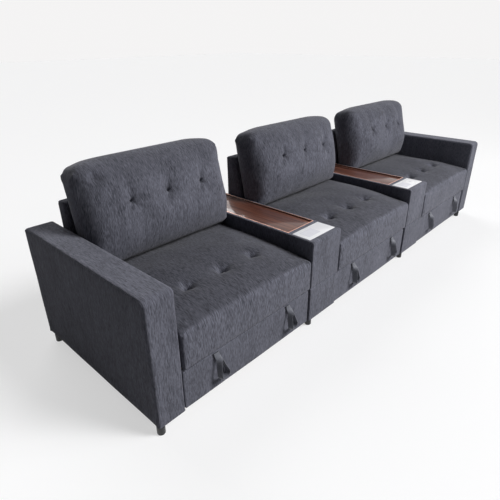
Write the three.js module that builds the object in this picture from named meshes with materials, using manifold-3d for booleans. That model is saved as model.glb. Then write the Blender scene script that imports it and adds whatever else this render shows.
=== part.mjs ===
import * as THREE from "three";
import { mergeVertices } from "three/addons/utils/BufferGeometryUtils.js";
import Module from "manifold-3d";

const wasm = await Module();
wasm.setup();

// A three-seat sofa with a console between each two seats, a pull-out bed unit under
// each seat and an arm at each end. Millimetres, +Z up, the seats face -Y.

// Upholstered outside
const armWidth = 136;
const seatWidth = 813;
const consoleWidth = 244;
const sideDepth = 929; // arms and consoles, front to rear
const armTop = 612;
const consoleTop = 494;
const seamHeight = 239; // under the seat cushions and between the console boxes
const footHeight = 40; // underside of every unit over the floor
const seatNames = ["left", "centre", "right"];
const consoleNames = ["left", "right"];

// Fits
const touch = 0.3; // between two faces that meet
const panelGap = 4; // beside and above a pull-out's front panel
const slideGap = 3; // beside a part that slides
const overrun = 5; // how far a cut or a join runs past a face

// Rounded upholstery
const armEdge = 9;
const armCorner = 26;
const armHeel = 11;
const boxEdge = 7;
const boxCorner = 13;
const boxSeamCorner = 8;
const arcPairs = 2; // pairs of straight pieces in a rounded corner of an outline
const edgeSteps = 2; // straight pieces across a rounded long edge

// Seat frame, a timber tunnel for the pull-out
const sideBoard = 25;
const rearBoard = 25;
const deckThickness = 12;
const crossRailHeight = 18;
const crossRailDepth = 45;
const ledgerWidth = 14;
const ledgerHeight = 20;

// Back frame
const backRear = 845;
const backTop = 727;
const backTopThickness = 68;
const backPanelThickness = 60;
const backRake = THREE.MathUtils.degToRad(13.4);
const backEdge = 7;
const backCorner = 14;

// Pull-out bed unit
const panelSetBack = 8;
const panelThickness = 30;
const panelEdge = 6;
const panelCorner = 8;
const pullOutDepth = 702;
const railThickness = 20;
const railHeight = 60;
const railLift = 10; // rails over the tops of the wheels
const slatCount = 5;
const slatWidth = 62;
const slatThickness = 10;
const skidHeight = 8;
const skidLengthShare = 0.48; // of the side rails
const padHeight = 82;
const padEdge = 10;
const padCorner = 18;

// Wheels
const wheelRadius = 24;
const wheelWidth = 20;
const wheelChamfer = 2.5;
const wheelSides = 16;
const wheelSideGap = 0.4;
const axleRadius = 4;
const axleSides = 8;
const axleClearance = 0.1;
const earThickness = 4;
const earWidth = 26;
const wheelSetIn = 60; // wheel centre from the side of the pull-out frame
const wheelSetBack = 30; // wheel centre from the front of the pull-out frame

// Pull straps
const strapWidth = 32;
const strapThickness = 2.2;
const strapDrop = 138;
const strapLoop = 48; // widest opening of the hanging loop
const strapTurn = THREE.MathUtils.degToRad(-75); // from the sewn end to the open loop
const strapTurnShare = 0.45; // of the drop, in which the band turns
const strapSwing = 28; // how far the foot of the loop hangs to the right
const strapSteps = 18;
const strapTabShare = 0.14; // of the drop, sewn flat
const strapWideShare = 0.78; // of the free drop, where the loop is widest
const strapPlaceShare = 0.286; // of the seat's width, either side of its middle

// Seat cushion
const seatCushionGap = 5; // beside the cushion
const seatCushionSetBack = 4;
const seatShoulder = 190; // side walls with their rounding, and the flat top at the rear
const seatCrown = 35;
const seatSideEdge = 14;
const seatFrontEdge = 72;
const seatRearEdge = 20;
const seatTopEdge = 52;
const seatBulge = 9;
const seatTuftRow = 208; // behind the cushion's front
const seatTuftDepth = 20;
const seatTuftSpread = 28;

// Back cushion
const backCushionGap = 3;
const backCushionThickness = 180;
const backCushionTop = 884; // over the floor
const backCrown = 82;
const backSideEdge = 32;
const backFrontEdge = 75;
const backRearEdge = 42;
const backTopEdge = 72;
const backFootEdge = 130;
const backFootPress = 45; // how far the foot is pressed flat on the seat cushion
const backFootReachShare = 0.65; // of the thickness, where the foot leaves the seat cushion
const backTuck = 52; // how far the front draws in at the foot
const backTuckHeight = 150;
const backTuftRise = 262; // over the seat cushion, along the rake
const backTuftDepth = 22;
const backTuftSpread = 34;
const backTopFall = 20; // from the middle of the top to its ends
const backSideDraw = 6;

// Both kinds of cushion
const tuftSpacing = 200;
const crownFlatShare = 0.42; // of the half size, where the crown starts to fall
const edgeLineShare = 0.4; // place of the grid line inside a rounded edge
const widestCell = 135; // of a cushion's grid

// Console
const consoleMargin = 14; // fabric beside the tray and the charging plate
const storageFloor = 15;
const lidLedge = 12;
const lidFront = 165;
const lidRearMargin = 44; // from the lid's rear edge to the console's
const lidBoard = 12;
const trayDepth = 7;
const rimWidth = 4;
const rimRise = 1;
const lidClearance = 1;
const plateFront = 32;
const plateDepth = 108;
const plateThickness = 9;
const plateRise = 1.2;
const plateCorner = 5;
const plateEdge = 0.8;

// Lid hinge
const hingeWidth = 180;
const leafThickness = 1.5;
const leafHeight = 15;
const knuckleRadius = 3;
const knuckleSides = 8;
const knuckleCount = 5;
const hingePinRadius = 1.4;
const hingePinClearance = 0.15;
const hingeAxisRise = 2; // over the console's top
const knuckleGap = 0.4; // between the knuckles and the lid, and between their ends

// Feet
const footRadius = 17;
const footChamfer = 5;
const footSides = 12;
const armFoot = { inset: 22, setBack: 22 }; // foot centre from the unit's left face and front
const consoleFoot = { inset: 34, setBack: 29 };
const rearFootSetIn = 57;

// Worked out from the sizes above
const seatCount = seatNames.length;
const totalWidth = 2 * armWidth + seatCount * seatWidth + consoleNames.length * consoleWidth;
const panelRear = panelSetBack + panelThickness;
const panelTop = seamHeight - panelGap;
const pullOutFront = panelRear + touch;
const backPanelFront = backRear - backPanelThickness;
const rakeFront = (z) => backRear - backTopThickness - (backTop - z) * Math.tan(backRake);
const deckTop = seamHeight - touch;
const deckUnder = deckTop - deckThickness;
const frameTop = deckUnder - touch;
const frameRear = backPanelFront - touch;
const frameHalf = (seatWidth - touch) / 2;
const bayHalf = frameHalf - sideBoard;
const ledgerFace = bayHalf - ledgerWidth;
const pullOutHalf = ledgerFace - slideGap;
const skidHalf = bayHalf - slideGap;
const railFoot = 2 * wheelRadius + railLift;
const railTop = railFoot + railHeight;
const skidFoot = railTop - skidHeight;
const wheelX = pullOutHalf - wheelSetIn;
const wheelY = pullOutFront + wheelSetBack;
const seatRest = seamHeight + seatShoulder;
const backFootLine = rakeFront(seatRest) - backCushionThickness * backFootReachShare;
const tuftPlaces = [-tuftSpacing, 0, tuftSpacing];
const lidHalf = consoleWidth / 2 - consoleMargin;
const boardTop = consoleTop - trayDepth;
const boardUnder = boardTop - lidBoard;
const ledgeTop = boardUnder - touch;
const lidRear = sideDepth - lidRearMargin;
const hingeY = lidRear + knuckleGap + knuckleRadius;
const hingeZ = consoleTop + hingeAxisRise;
const lidWellRear = hingeY + knuckleRadius + knuckleGap;

function finish(color, roughness, metalness) {
  return new THREE.MeshStandardMaterial({ color, roughness, metalness });
}
const fabric = finish(0x4b4e57, 0.95, 0);
const webbing = finish(0x54565e, 0.8, 0);
const ticking = finish(0x5d5f66, 0.95, 0);
const timber = finish(0xb08d62, 0.7, 0);
const walnut = finish(0x6b4334, 0.4, 0);
const copper = finish(0xc08a72, 0.3, 1);
const whiteGloss = finish(0xe9e9ec, 0.2, 0);
const blackPlastic = finish(0x17181a, 0.5, 0);
const steel = finish(0x9a9da1, 0.35, 1);

// Geometry to solid and back
function toSolid(geometry) {
  const bare = geometry.clone();
  bare.deleteAttribute("normal");
  bare.deleteAttribute("uv");
  const merged = mergeVertices(bare);
  const vertProperties = new Float32Array(merged.attributes.position.array);
  const triVerts = new Uint32Array(merged.index.array);
  return new wasm.Manifold(new wasm.Mesh({ numProp: 3, vertProperties, triVerts }));
}

function toGeometry(solid) {
  const mesh = solid.getMesh();
  const geometry = new THREE.BufferGeometry();
  geometry.setAttribute("position", new THREE.BufferAttribute(mesh.vertProperties, mesh.numProp));
  geometry.setIndex(new THREE.BufferAttribute(mesh.triVerts, 1));
  return geometry;
}

function joined(geometries) {
  return toGeometry(geometries.map(toSolid).reduce((whole, piece) => whole.add(piece)));
}

function cutBy(geometry, cutters) {
  const whole = toSolid(geometry);
  return toGeometry(cutters.map(toSolid).reduce((rest, cutter) => rest.subtract(cutter), whole));
}

// A box between two places along each axis, given in either order
function block([x0, x1], [y0, y1], [z0, z1]) {
  const box = new THREE.BoxGeometry(Math.abs(x1 - x0), Math.abs(y1 - y0), Math.abs(z1 - z0));
  return box.translate((x0 + x1) / 2, (y0 + y1) / 2, (z0 + z1) / 2);
}

// A closed outline through corners [a, b, reach], each rounded over its reach along both sides
function roundedOutline(corners) {
  const outline = new THREE.Shape();
  corners.forEach(([a, b, reach], i) => {
    const here = new THREE.Vector2(a, b);
    if (reach === 0) {
      outline.lineTo(a, b);
      return;
    }
    const [beforeA, beforeB] = corners.at(i - 1);
    const [afterA, afterB] = corners[(i + 1) % corners.length];
    const toBefore = new THREE.Vector2(beforeA, beforeB).sub(here).normalize();
    const toAfter = new THREE.Vector2(afterA, afterB).sub(here).normalize();
    const inward = toBefore.clone().add(toAfter).multiplyScalar(reach / (1 + toBefore.dot(toAfter)));
    const enter = toBefore.multiplyScalar(reach).sub(inward);
    const leave = toAfter.multiplyScalar(reach).sub(inward);
    const centre = here.add(inward);
    outline.absarc(centre.x, centre.y, enter.length(), enter.angle(), leave.angle(), false);
  });
  outline.closePath();
  return outline;
}

// An outline given a thickness, with its long edges rounded inside that thickness
function thickened(corners, thickness, edge, steps) {
  return new THREE.ExtrudeGeometry(roundedOutline(corners), {
    depth: thickness - 2 * edge,
    steps: 1,
    curveSegments: arcPairs,
    bevelEnabled: edge > 0,
    bevelThickness: edge,
    bevelSize: edge,
    bevelOffset: -edge,
    bevelSegments: steps,
  }).translate(0, 0, edge);
}

// A side outline, drawn as (place along Y, height), made as wide as width about x = 0
function sideOutline(corners, width, edge) {
  const across = new THREE.Matrix4().makeBasis(
    new THREE.Vector3(0, 1, 0),
    new THREE.Vector3(0, 0, 1),
    new THREE.Vector3(1, 0, 0),
  );
  return thickened(corners, width, edge, edgeSteps).translate(0, 0, -width / 2).applyMatrix4(across);
}

function pinAlongX(radius, length, sides, x, y, z) {
  return new THREE.CylinderGeometry(radius, radius, length, sides).rotateZ(Math.PI / 2).translate(x, y, z);
}

// Grid lines along one side of a cushion: close in the rounded edges and round each tuft
function gridLines([low, lowEdge], [high, highEdge], centres, spread) {
  const marks = [low, low + lowEdge * edgeLineShare, low + lowEdge];
  marks.push(high - highEdge, high - highEdge * edgeLineShare, high);
  for (const centre of centres) marks.push(centre - spread, centre, centre + spread);
  marks.sort((a, b) => a - b);
  const lines = [marks[0]];
  for (const mark of marks.slice(1)) {
    const from = lines.at(-1);
    const pieces = Math.ceil((mark - from) / widestCell);
    for (let i = 1; i <= pieces; i += 1) lines.push(from + ((mark - from) * i) / pieces);
  }
  return lines;
}

// A box on three lists of grid lines, with rounded edges, each point then moved by shape(point)
function formedPad(lines, lowEdges, highEdges, shape) {
  const counts = lines.map((list) => list.length - 1);
  const box = new THREE.BoxGeometry(1, 1, 1, ...counts);
  box.deleteAttribute("normal");
  box.deleteAttribute("uv");
  const pad = mergeVertices(box);
  const places = pad.attributes.position;
  const corner = new THREE.Vector3(1, 1, 1).multiplyScalar(1 / 2);
  const point = new THREE.Vector3();
  for (let v = 0; v < places.count; v += 1) {
    point.fromBufferAttribute(places, v).add(corner);
    const square = point.toArray().map((t, k) => lines[k][Math.round(t * counts[k])]);
    const inner = square.map((t, k) =>
      Math.min(Math.max(t, lines[k][0] + lowEdges[k]), lines[k].at(-1) - highEdges[k]),
    );
    const out = square.map((t, k) => (t - inner[k]) / (t < inner[k] ? lowEdges[k] : highEdges[k]));
    const reach = Math.max(1, Math.hypot(...out));
    point.fromArray(inner.map((t, k) => t + (square[k] - t) / reach));
    shape(point);
    places.setXYZ(v, point.x, point.y, point.z);
  }
  return pad;
}

// 1 over the middle of a side, falling smoothly to 0 at its ends
function crownAt(t, half) {
  const beyond = Math.max(0, Math.abs(t) / half - crownFlatShare) / (1 - crownFlatShare);
  return Math.max(0, 1 - beyond ** 2);
}

const dimple = (distance, spread) => Math.exp(-((distance / spread) ** 2));

// 0 at the middle of a side, rising to 1 at its far end
const farHalf = (t, low, high) => Math.max(0, (2 * (t - low)) / (high - low) - 1);

function arm() {
  const corners = [
    [0, footHeight, armHeel],
    [sideDepth, footHeight, armHeel],
    [sideDepth, armTop, armCorner],
    [0, armTop, armCorner],
  ];
  return sideOutline(corners, armWidth - touch, armEdge);
}

function seatFrame() {
  const walls = block([-frameHalf, frameHalf], [pullOutFront, frameRear], [footHeight, frameTop]);
  const bayRear = frameRear - rearBoard;
  const bay = block(
    [-bayHalf, bayHalf],
    [pullOutFront - overrun, bayRear],
    [footHeight - overrun, frameTop + overrun],
  );
  const railPlaces = [pullOutFront, (pullOutFront + bayRear - crossRailDepth) / 2];
  const railHalf = bayHalf + overrun;
  const crossRails = railPlaces.map((y) =>
    block([-railHalf, railHalf], [y, y + crossRailDepth], [frameTop - crossRailHeight, frameTop]),
  );
  const ledgerTop = skidFoot - touch;
  const ledgers = [-1, 1].map((side) =>
    block(
      [side * ledgerFace, side * (bayHalf + overrun)],
      [pullOutFront, bayRear + overrun],
      [ledgerTop - ledgerHeight, ledgerTop],
    ),
  );
  return joined([cutBy(walls, [bay]), ...crossRails, ...ledgers]);
}

function seatDeck() {
  return block([-frameHalf, frameHalf], [pullOutFront, frameRear], [deckUnder, deckTop]);
}

function backFrame() {
  const corners = [
    [backRear, footHeight, backCorner],
    [backRear, backTop, backCorner],
    [backRear - backTopThickness, backTop, backCorner],
    [rakeFront(seamHeight), seamHeight, 0],
    [backPanelFront, seamHeight, 0],
    [backPanelFront, footHeight, 0],
  ];
  return sideOutline(corners, seatWidth - touch, backEdge);
}

function seatCushion() {
  const half = seatWidth / 2 - seatCushionGap;
  const front = seatCushionSetBack;
  const rear = rakeFront(seamHeight) - touch;
  const tuftRow = front + seatTuftRow;
  const lines = [
    gridLines([-half, seatSideEdge], [half, seatSideEdge], tuftPlaces, seatTuftSpread),
    gridLines([front, seatFrontEdge], [rear, seatRearEdge], [tuftRow, backFootLine], seatTuftSpread),
    gridLines([seamHeight, 0], [seatRest, seatTopEdge], [], 0),
  ];
  const lowEdges = [seatSideEdge, seatFrontEdge, 0];
  const highEdges = [seatSideEdge, seatRearEdge, seatTopEdge];
  return formedPad(lines, lowEdges, highEdges, (p) => {
    const upper = farHalf(p.z, seamHeight, seatRest);
    const forward = farHalf(-p.y, -rear, -front);
    const across = crownAt(p.x, half);
    p.y += farHalf(p.y, front, rear) * (p.z - seamHeight) * Math.tan(backRake);
    const along = crownAt(p.y - (front + backFootLine) / 2, (backFootLine - front) / 2);
    const bow = Math.sin((Math.PI * (p.z - seamHeight)) / seatShoulder);
    const sewn = tuftPlaces.map((x) => dimple(Math.hypot(p.x - x, p.y - tuftRow), seatTuftSpread));
    p.y -= seatBulge * forward * bow * across;
    p.z += upper * (seatCrown * across * along - seatTuftDepth * Math.max(...sewn));
  });
}

// The cushion is shaped upright with the seat cushion at z = 0, then leant back on its frame
function backCushion() {
  const half = seatWidth / 2 - backCushionGap;
  const foot = -backFootPress;
  const rise = backCushionTop - seatRest - (backCushionThickness / 2) * Math.sin(backRake);
  const top = rise / Math.cos(backRake);
  const lines = [
    gridLines([-half, backSideEdge], [half, backSideEdge], tuftPlaces, backTuftSpread),
    gridLines([-backCushionThickness, backFrontEdge], [0, backRearEdge], [], 0),
    gridLines([foot, backFootEdge], [top, backTopEdge], [backTuftRise], backTuftSpread),
  ];
  const lowEdges = [backSideEdge, backFrontEdge, backFootEdge];
  const highEdges = [backSideEdge, backRearEdge, backTopEdge];
  const pad = formedPad(lines, lowEdges, highEdges, (p) => {
    const forward = farHalf(-p.y, 0, backCushionThickness);
    const across = crownAt(p.x, half);
    const along = Math.sin((Math.PI * (p.z - foot)) / (top - foot));
    const tuck = backTuck * Math.max(0, 1 - (p.z - foot) / backTuckHeight) ** 2;
    const sewn = tuftPlaces.map((x) => dimple(Math.hypot(p.x - x, p.z - backTuftRise), backTuftSpread));
    p.y -= forward * (backCrown * across * along - tuck - backTuftDepth * Math.max(...sewn));
    p.x -= (backSideDraw * along * p.x) / half;
    p.z -= backTopFall * farHalf(p.z, foot, top) * Math.abs(p.x / half) ** 6;
  });
  pad.rotateX(-backRake).translate(0, rakeFront(seatRest) - touch, seatRest);
  const pressed = block([-seatWidth, seatWidth], [0, sideDepth], [0, seatRest + touch]);
  return cutBy(pad, [pressed, seatCushion().translate(0, 0, touch)]);
}

function pullOutPanel() {
  const corners = [
    [panelSetBack, footHeight, panelCorner],
    [panelRear, footHeight, panelCorner],
    [panelRear, panelTop, panelCorner],
    [panelSetBack, panelTop, panelCorner],
  ];
  return sideOutline(corners, seatWidth - 2 * panelGap, panelEdge);
}

// Two ears, a plate that carries them and the axle through them
function wheelBracket(x) {
  const near = wheelWidth / 2 + wheelSideGap;
  const far = near + earThickness;
  const earY = [wheelY - earWidth / 2, wheelY + earWidth / 2];
  const earZ = [wheelRadius - earWidth / 2, railFoot + earThickness];
  const ears = [-1, 1].map((side) => block([x + side * near, x + side * far], earY, earZ));
  const plate = block([x - far, x + far], [pullOutFront, earY[1]], [railFoot, railFoot + earThickness]);
  return [...ears, plate, pinAlongX(axleRadius, 2 * far, axleSides, x, wheelY, wheelRadius)];
}

function pullOutFrame() {
  const rear = pullOutFront + pullOutDepth;
  const inner = pullOutHalf - railThickness;
  const railInside = [pullOutFront + railThickness, rear - railThickness];
  const outside = block([-pullOutHalf, pullOutHalf], [pullOutFront, rear], [railFoot, railTop]);
  const inside = block([-inner, inner], railInside, [railFoot - overrun, railTop + overrun]);
  const slatPitch = (railInside[1] - railInside[0] - slatWidth) / (slatCount - 1);
  const slatEnds = [-inner - overrun, inner + overrun];
  const slats = Array.from({ length: slatCount }, (_, i) => {
    const y = railInside[0] + slatPitch * i;
    return block(slatEnds, [y, y + slatWidth], [railTop - slatThickness, railTop]);
  });
  const skids = [-1, 1].map((side) =>
    block(
      [side * (pullOutHalf - overrun), side * skidHalf],
      [rear - pullOutDepth * skidLengthShare, rear],
      [skidFoot, railTop],
    ),
  );
  const brackets = [...wheelBracket(-wheelX), ...wheelBracket(wheelX)];
  return joined([cutBy(outside, [inside]), ...slats, ...skids, ...brackets]);
}

function pullOutPad() {
  const rear = pullOutFront + pullOutDepth;
  const foot = railTop + touch;
  const corners = [
    [pullOutFront, foot, padCorner],
    [rear, foot, padCorner],
    [rear, foot + padHeight, padCorner],
    [pullOutFront, foot + padHeight, padCorner],
  ];
  return sideOutline(corners, 2 * pullOutHalf, padEdge);
}

function wheel() {
  const bore = (axleRadius + axleClearance) / Math.cos(Math.PI / wheelSides);
  const half = wheelWidth / 2;
  const profile = [
    [bore, -half],
    [wheelRadius - wheelChamfer, -half],
    [wheelRadius, wheelChamfer - half],
    [wheelRadius, half - wheelChamfer],
    [wheelRadius - wheelChamfer, half],
    [bore, half],
    [bore, -half],
  ].map(([radius, along]) => new THREE.Vector2(radius, along));
  return new THREE.LatheGeometry(profile, wheelSides).rotateZ(Math.PI / 2);
}

// Half the opening of a strap's loop, at a share of its drop
function loopHalf(dropShare) {
  const free = Math.max(0, dropShare - strapTabShare) / (1 - strapTabShare);
  const belly = Math.max(0, free - strapWideShare) / (1 - strapWideShare);
  const spread = Math.min(1, free / strapWideShare);
  return (strapLoop / 2) * spread * Math.sqrt(Math.max(0, 1 - belly ** 2));
}

// Where a strap's centre line runs: [out from the middle of the loop, share of the drop]
function strapLine(i) {
  const turn = (2 * Math.PI * i) / strapSteps;
  const dropShare = (1 - Math.cos(turn)) / 2;
  const side = i * 2 < strapSteps ? -1 : 1;
  const legs = i * 2 === strapSteps ? 0 : (strapThickness + touch) / 2;
  return [side * (legs + loopHalf(dropShare)), dropShare];
}

// A flat band sewn at both ends, its loop turned sideways to the panel as it hangs
function pullStrap() {
  const ring = [[-1, -1], [1, -1], [1, 1], [-1, 1]]; // corners of the band's section
  const places = [];
  const faces = [];
  for (let i = 0; i <= strapSteps; i += 1) {
    const [out, dropShare] = strapLine(i);
    const [outBefore, dropBefore] = strapLine(Math.max(0, i - 1));
    const [outAfter, dropAfter] = strapLine(Math.min(strapSteps, i + 1));
    const run = new THREE.Vector2(outAfter - outBefore, (dropAfter - dropBefore) * strapDrop);
    const flat = new THREE.Vector2(run.y, -run.x).setLength(strapThickness / 2);
    const turned = strapTurn * THREE.MathUtils.smoothstep(dropShare, 0, strapTurnShare);
    const clear = strapThickness + touch / 2 + loopHalf(dropShare);
    const middle = touch + clear * Math.cos(turned) + (strapWidth / 2) * Math.abs(Math.sin(turned));
    for (const [across, through] of ring) {
      const x = (across * strapWidth) / 2;
      const away = out + through * flat.x;
      places.push(
        x * Math.cos(turned) + away * Math.sin(turned) + strapSwing * dropShare,
        -(middle + away * Math.cos(turned) - x * Math.sin(turned)),
        -(dropShare * strapDrop + through * flat.y),
      );
    }
    if (i === strapSteps) break;
    ring.forEach((_, k) => {
      const a = ring.length * i + k;
      const b = ring.length * i + ((k + 1) % ring.length);
      faces.push(a, b, a + ring.length, b, b + ring.length, a + ring.length);
    });
  }
  const last = ring.length * strapSteps;
  faces.push(0, 2, 1, 0, 3, 2, last, last + 1, last + 2, last, last + 2, last + 3);
  const strap = new THREE.BufferGeometry();
  strap.setAttribute("position", new THREE.Float32BufferAttribute(places, 3));
  strap.setIndex(faces);
  return strap.translate(0, panelSetBack, panelTop - panelCorner);
}

function consoleBase() {
  const corners = [
    [0, footHeight, boxCorner],
    [sideDepth, footHeight, boxCorner],
    [sideDepth, seamHeight - touch, boxSeamCorner],
    [0, seamHeight - touch, boxSeamCorner],
  ];
  return sideOutline(corners, consoleWidth - touch, boxEdge);
}

function consoleBox() {
  const corners = [
    [0, seamHeight, boxSeamCorner],
    [sideDepth, seamHeight, boxSeamCorner],
    [sideDepth, consoleTop, boxCorner],
    [0, consoleTop, boxCorner],
  ];
  const wellHalf = lidHalf + lidClearance;
  const well = block(
    [-wellHalf, wellHalf],
    [lidFront - lidClearance, lidWellRear],
    [ledgeTop, consoleTop + overrun],
  );
  const storeHalf = lidHalf - lidLedge;
  const store = block(
    [-storeHalf, storeHalf],
    [lidFront + lidLedge, lidRear - lidLedge],
    [seamHeight + storageFloor, consoleTop],
  );
  const plateSeat = block(
    [-lidHalf - touch, lidHalf + touch],
    [plateFront - touch, plateFront + plateDepth + touch],
    [consoleTop + plateRise - plateThickness - touch, consoleTop + overrun],
  );
  return cutBy(sideOutline(corners, consoleWidth - touch, boxEdge), [well, store, plateSeat]);
}

// The board of a lid lies inside its rim
function lidTray() {
  const inset = rimWidth + touch;
  const boardHalf = lidHalf - inset;
  return block([-boardHalf, boardHalf], [lidFront + inset, lidRear - inset], [boardUnder, boardTop]);
}

function lidRim() {
  const outside = block([-lidHalf, lidHalf], [lidFront, lidRear], [boardUnder, consoleTop + rimRise]);
  const inside = block(
    [rimWidth - lidHalf, lidHalf - rimWidth],
    [lidFront + rimWidth, lidRear - rimWidth],
    [boardUnder - overrun, consoleTop + overrun],
  );
  return cutBy(outside, [inside]);
}

function chargingPlate() {
  const corners = [
    [-lidHalf, plateFront, plateCorner],
    [lidHalf, plateFront, plateCorner],
    [lidHalf, plateFront + plateDepth, plateCorner],
    [-lidHalf, plateFront + plateDepth, plateCorner],
  ];
  const foot = consoleTop + plateRise - plateThickness;
  return thickened(corners, plateThickness, plateEdge, 1).translate(0, 0, foot);
}

// One leaf of the lid's hinge with its share of the knuckles: the fixed leaf has the odd ones and the pin
function hingeLeaf(fixed) {
  const side = fixed ? 1 : -1;
  const pitch = hingeWidth / knuckleCount;
  const plateNear = knuckleRadius - leafThickness;
  const plateY = [hingeY + side * plateNear, hingeY + side * knuckleRadius];
  const plateTop = hingeZ - knuckleRadius - touch;
  const pieces = [block([-hingeWidth / 2, hingeWidth / 2], plateY, [plateTop - leafHeight, plateTop])];
  for (let i = fixed ? 0 : 1; i < knuckleCount; i += 2) {
    const x = pitch * (i + 1 / 2) - hingeWidth / 2;
    const half = (pitch - knuckleGap) / 2;
    pieces.push(pinAlongX(knuckleRadius, 2 * half, knuckleSides, x, hingeY, hingeZ));
    pieces.push(block([x - half, x + half], plateY, [plateTop, hingeZ]));
  }
  if (fixed) {
    pieces.push(pinAlongX(hingePinRadius, hingeWidth - knuckleGap, knuckleSides, 0, hingeY, hingeZ));
    return joined(pieces);
  }
  const bore = (hingePinRadius + hingePinClearance) / Math.cos(Math.PI / knuckleSides);
  return cutBy(joined(pieces), [pinAlongX(bore, hingeWidth + overrun, knuckleSides, 0, hingeY, hingeZ)]);
}

function foot() {
  const top = footHeight - touch;
  const profile = [
    [0, 0],
    [footRadius - footChamfer, 0],
    [footRadius, footChamfer],
    [footRadius, top],
    [0, top],
  ].map(([radius, height]) => new THREE.Vector2(radius, height));
  return new THREE.LatheGeometry(profile, footSides).rotateX(Math.PI / 2);
}

// Assembly: each unit is a group placed along X
const sofa = new THREE.Group();

function unit(middle) {
  const group = new THREE.Group();
  group.position.x = middle - totalWidth / 2;
  sofa.add(group);
  return group;
}

function place(group, name, geometry, material, x = 0, y = 0, z = 0) {
  const mesh = new THREE.Mesh(geometry, material);
  mesh.name = name;
  mesh.position.set(x, y, z);
  group.add(mesh);
}

function placeFeet(group, name, width, { inset, setBack }) {
  const x = inset - width / 2;
  place(group, name + "_front_foot", foot(), blackPlastic, x, setBack, 0);
  place(group, name + "_rear_foot", foot(), blackPlastic, x, sideDepth - rearFootSetIn, 0);
}

function addArm(name, middle) {
  const group = unit(middle);
  place(group, name, arm(), fabric);
  placeFeet(group, name, armWidth, armFoot);
}

function addSeat(name, middle) {
  const group = unit(middle);
  place(group, name + "_seat_frame", seatFrame(), timber);
  place(group, name + "_seat_deck", seatDeck(), timber);
  place(group, name + "_back_frame", backFrame(), fabric);
  place(group, name + "_seat_cushion", seatCushion(), fabric);
  place(group, name + "_back_cushion", backCushion(), fabric);
  place(group, name + "_pull_out_panel", pullOutPanel(), fabric);
  place(group, name + "_pull_out_frame", pullOutFrame(), timber);
  place(group, name + "_pull_out_pad", pullOutPad(), ticking);
  [-1, 1].forEach((side, i) => {
    const number = "_" + (i + 1);
    place(group, name + "_pull_strap" + number, pullStrap(), webbing, side * strapPlaceShare * seatWidth);
    place(group, name + "_wheel" + number, wheel(), blackPlastic, side * wheelX, wheelY, wheelRadius);
  });
}

function addConsole(name, middle) {
  const group = unit(middle);
  place(group, name + "_console_base", consoleBase(), fabric);
  place(group, name + "_console_box", consoleBox(), fabric);
  place(group, name + "_console_lid", lidTray(), walnut);
  place(group, name + "_console_lid_rim", lidRim(), copper);
  place(group, name + "_console_charging_plate", chargingPlate(), whiteGloss);
  place(group, name + "_console_hinge_fixed_leaf", hingeLeaf(true), steel);
  place(group, name + "_console_hinge_lid_leaf", hingeLeaf(false), steel);
  placeFeet(group, name + "_console", consoleWidth, consoleFoot);
}

const seatPitch = seatWidth + consoleWidth;
addArm("left_arm", armWidth / 2);
seatNames.forEach((name, i) => addSeat(name, armWidth + seatWidth / 2 + i * seatPitch));
consoleNames.forEach((name, i) => addConsole(name, armWidth + seatPitch - consoleWidth / 2 + i * seatPitch));
addArm("right_arm", totalWidth - armWidth / 2);

// The origin is on the floor, under the middle of the sofa
const extent = new THREE.Box3().setFromObject(sofa, true);
sofa.position.y = -(extent.min.y + extent.max.y) / 2;

export default sofa;
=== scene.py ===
import math

import bmesh
import bpy
from mathutils import Matrix, Vector, noise
from mathutils.bvhtree import BVHTree


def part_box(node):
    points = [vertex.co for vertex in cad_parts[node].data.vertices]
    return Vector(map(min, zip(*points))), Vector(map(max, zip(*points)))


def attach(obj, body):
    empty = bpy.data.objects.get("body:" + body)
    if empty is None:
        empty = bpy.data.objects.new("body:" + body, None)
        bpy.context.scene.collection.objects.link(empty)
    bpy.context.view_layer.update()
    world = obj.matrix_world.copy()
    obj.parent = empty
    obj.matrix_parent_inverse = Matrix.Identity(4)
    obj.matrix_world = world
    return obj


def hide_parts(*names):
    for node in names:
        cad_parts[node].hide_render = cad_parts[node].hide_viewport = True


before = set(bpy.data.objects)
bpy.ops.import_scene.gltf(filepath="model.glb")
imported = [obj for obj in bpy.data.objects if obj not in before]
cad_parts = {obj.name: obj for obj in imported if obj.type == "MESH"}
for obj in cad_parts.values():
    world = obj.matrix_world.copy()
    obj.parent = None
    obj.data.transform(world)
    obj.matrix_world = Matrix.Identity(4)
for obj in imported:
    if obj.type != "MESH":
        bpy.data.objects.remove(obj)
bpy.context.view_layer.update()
print("frame loaded:", len(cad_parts), "nodes")

seats = ["left", "centre", "right"]
consoles = ["left", "right"]
# Where each kind of piece starts in the noise, so that no two are padded alike
seeds = {"arm": 1, "base": 3, "backFrame": 10, "seat": 20, "back": 30, "pullOut": 40, "padStep": 5}

# Camera: the photograph's place and turn, found from the sofa's own corners
photoCamera = {
    "place": (-2.216, -1.5007, 1.3751),
    "heading": 46.823,  # degrees from +Y towards +X
    "pitch": 26.142,  # degrees down
    "roll": -0.43,
    "focalPixels": 434.73,
    "imagePixels": 500,
    "sensor": 36,
    "reach": 60,  # metres that it sees
}


def addObject(name, data):
    made = bpy.data.objects.new(name, data)
    bpy.context.scene.collection.objects.link(made)
    return made


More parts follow.
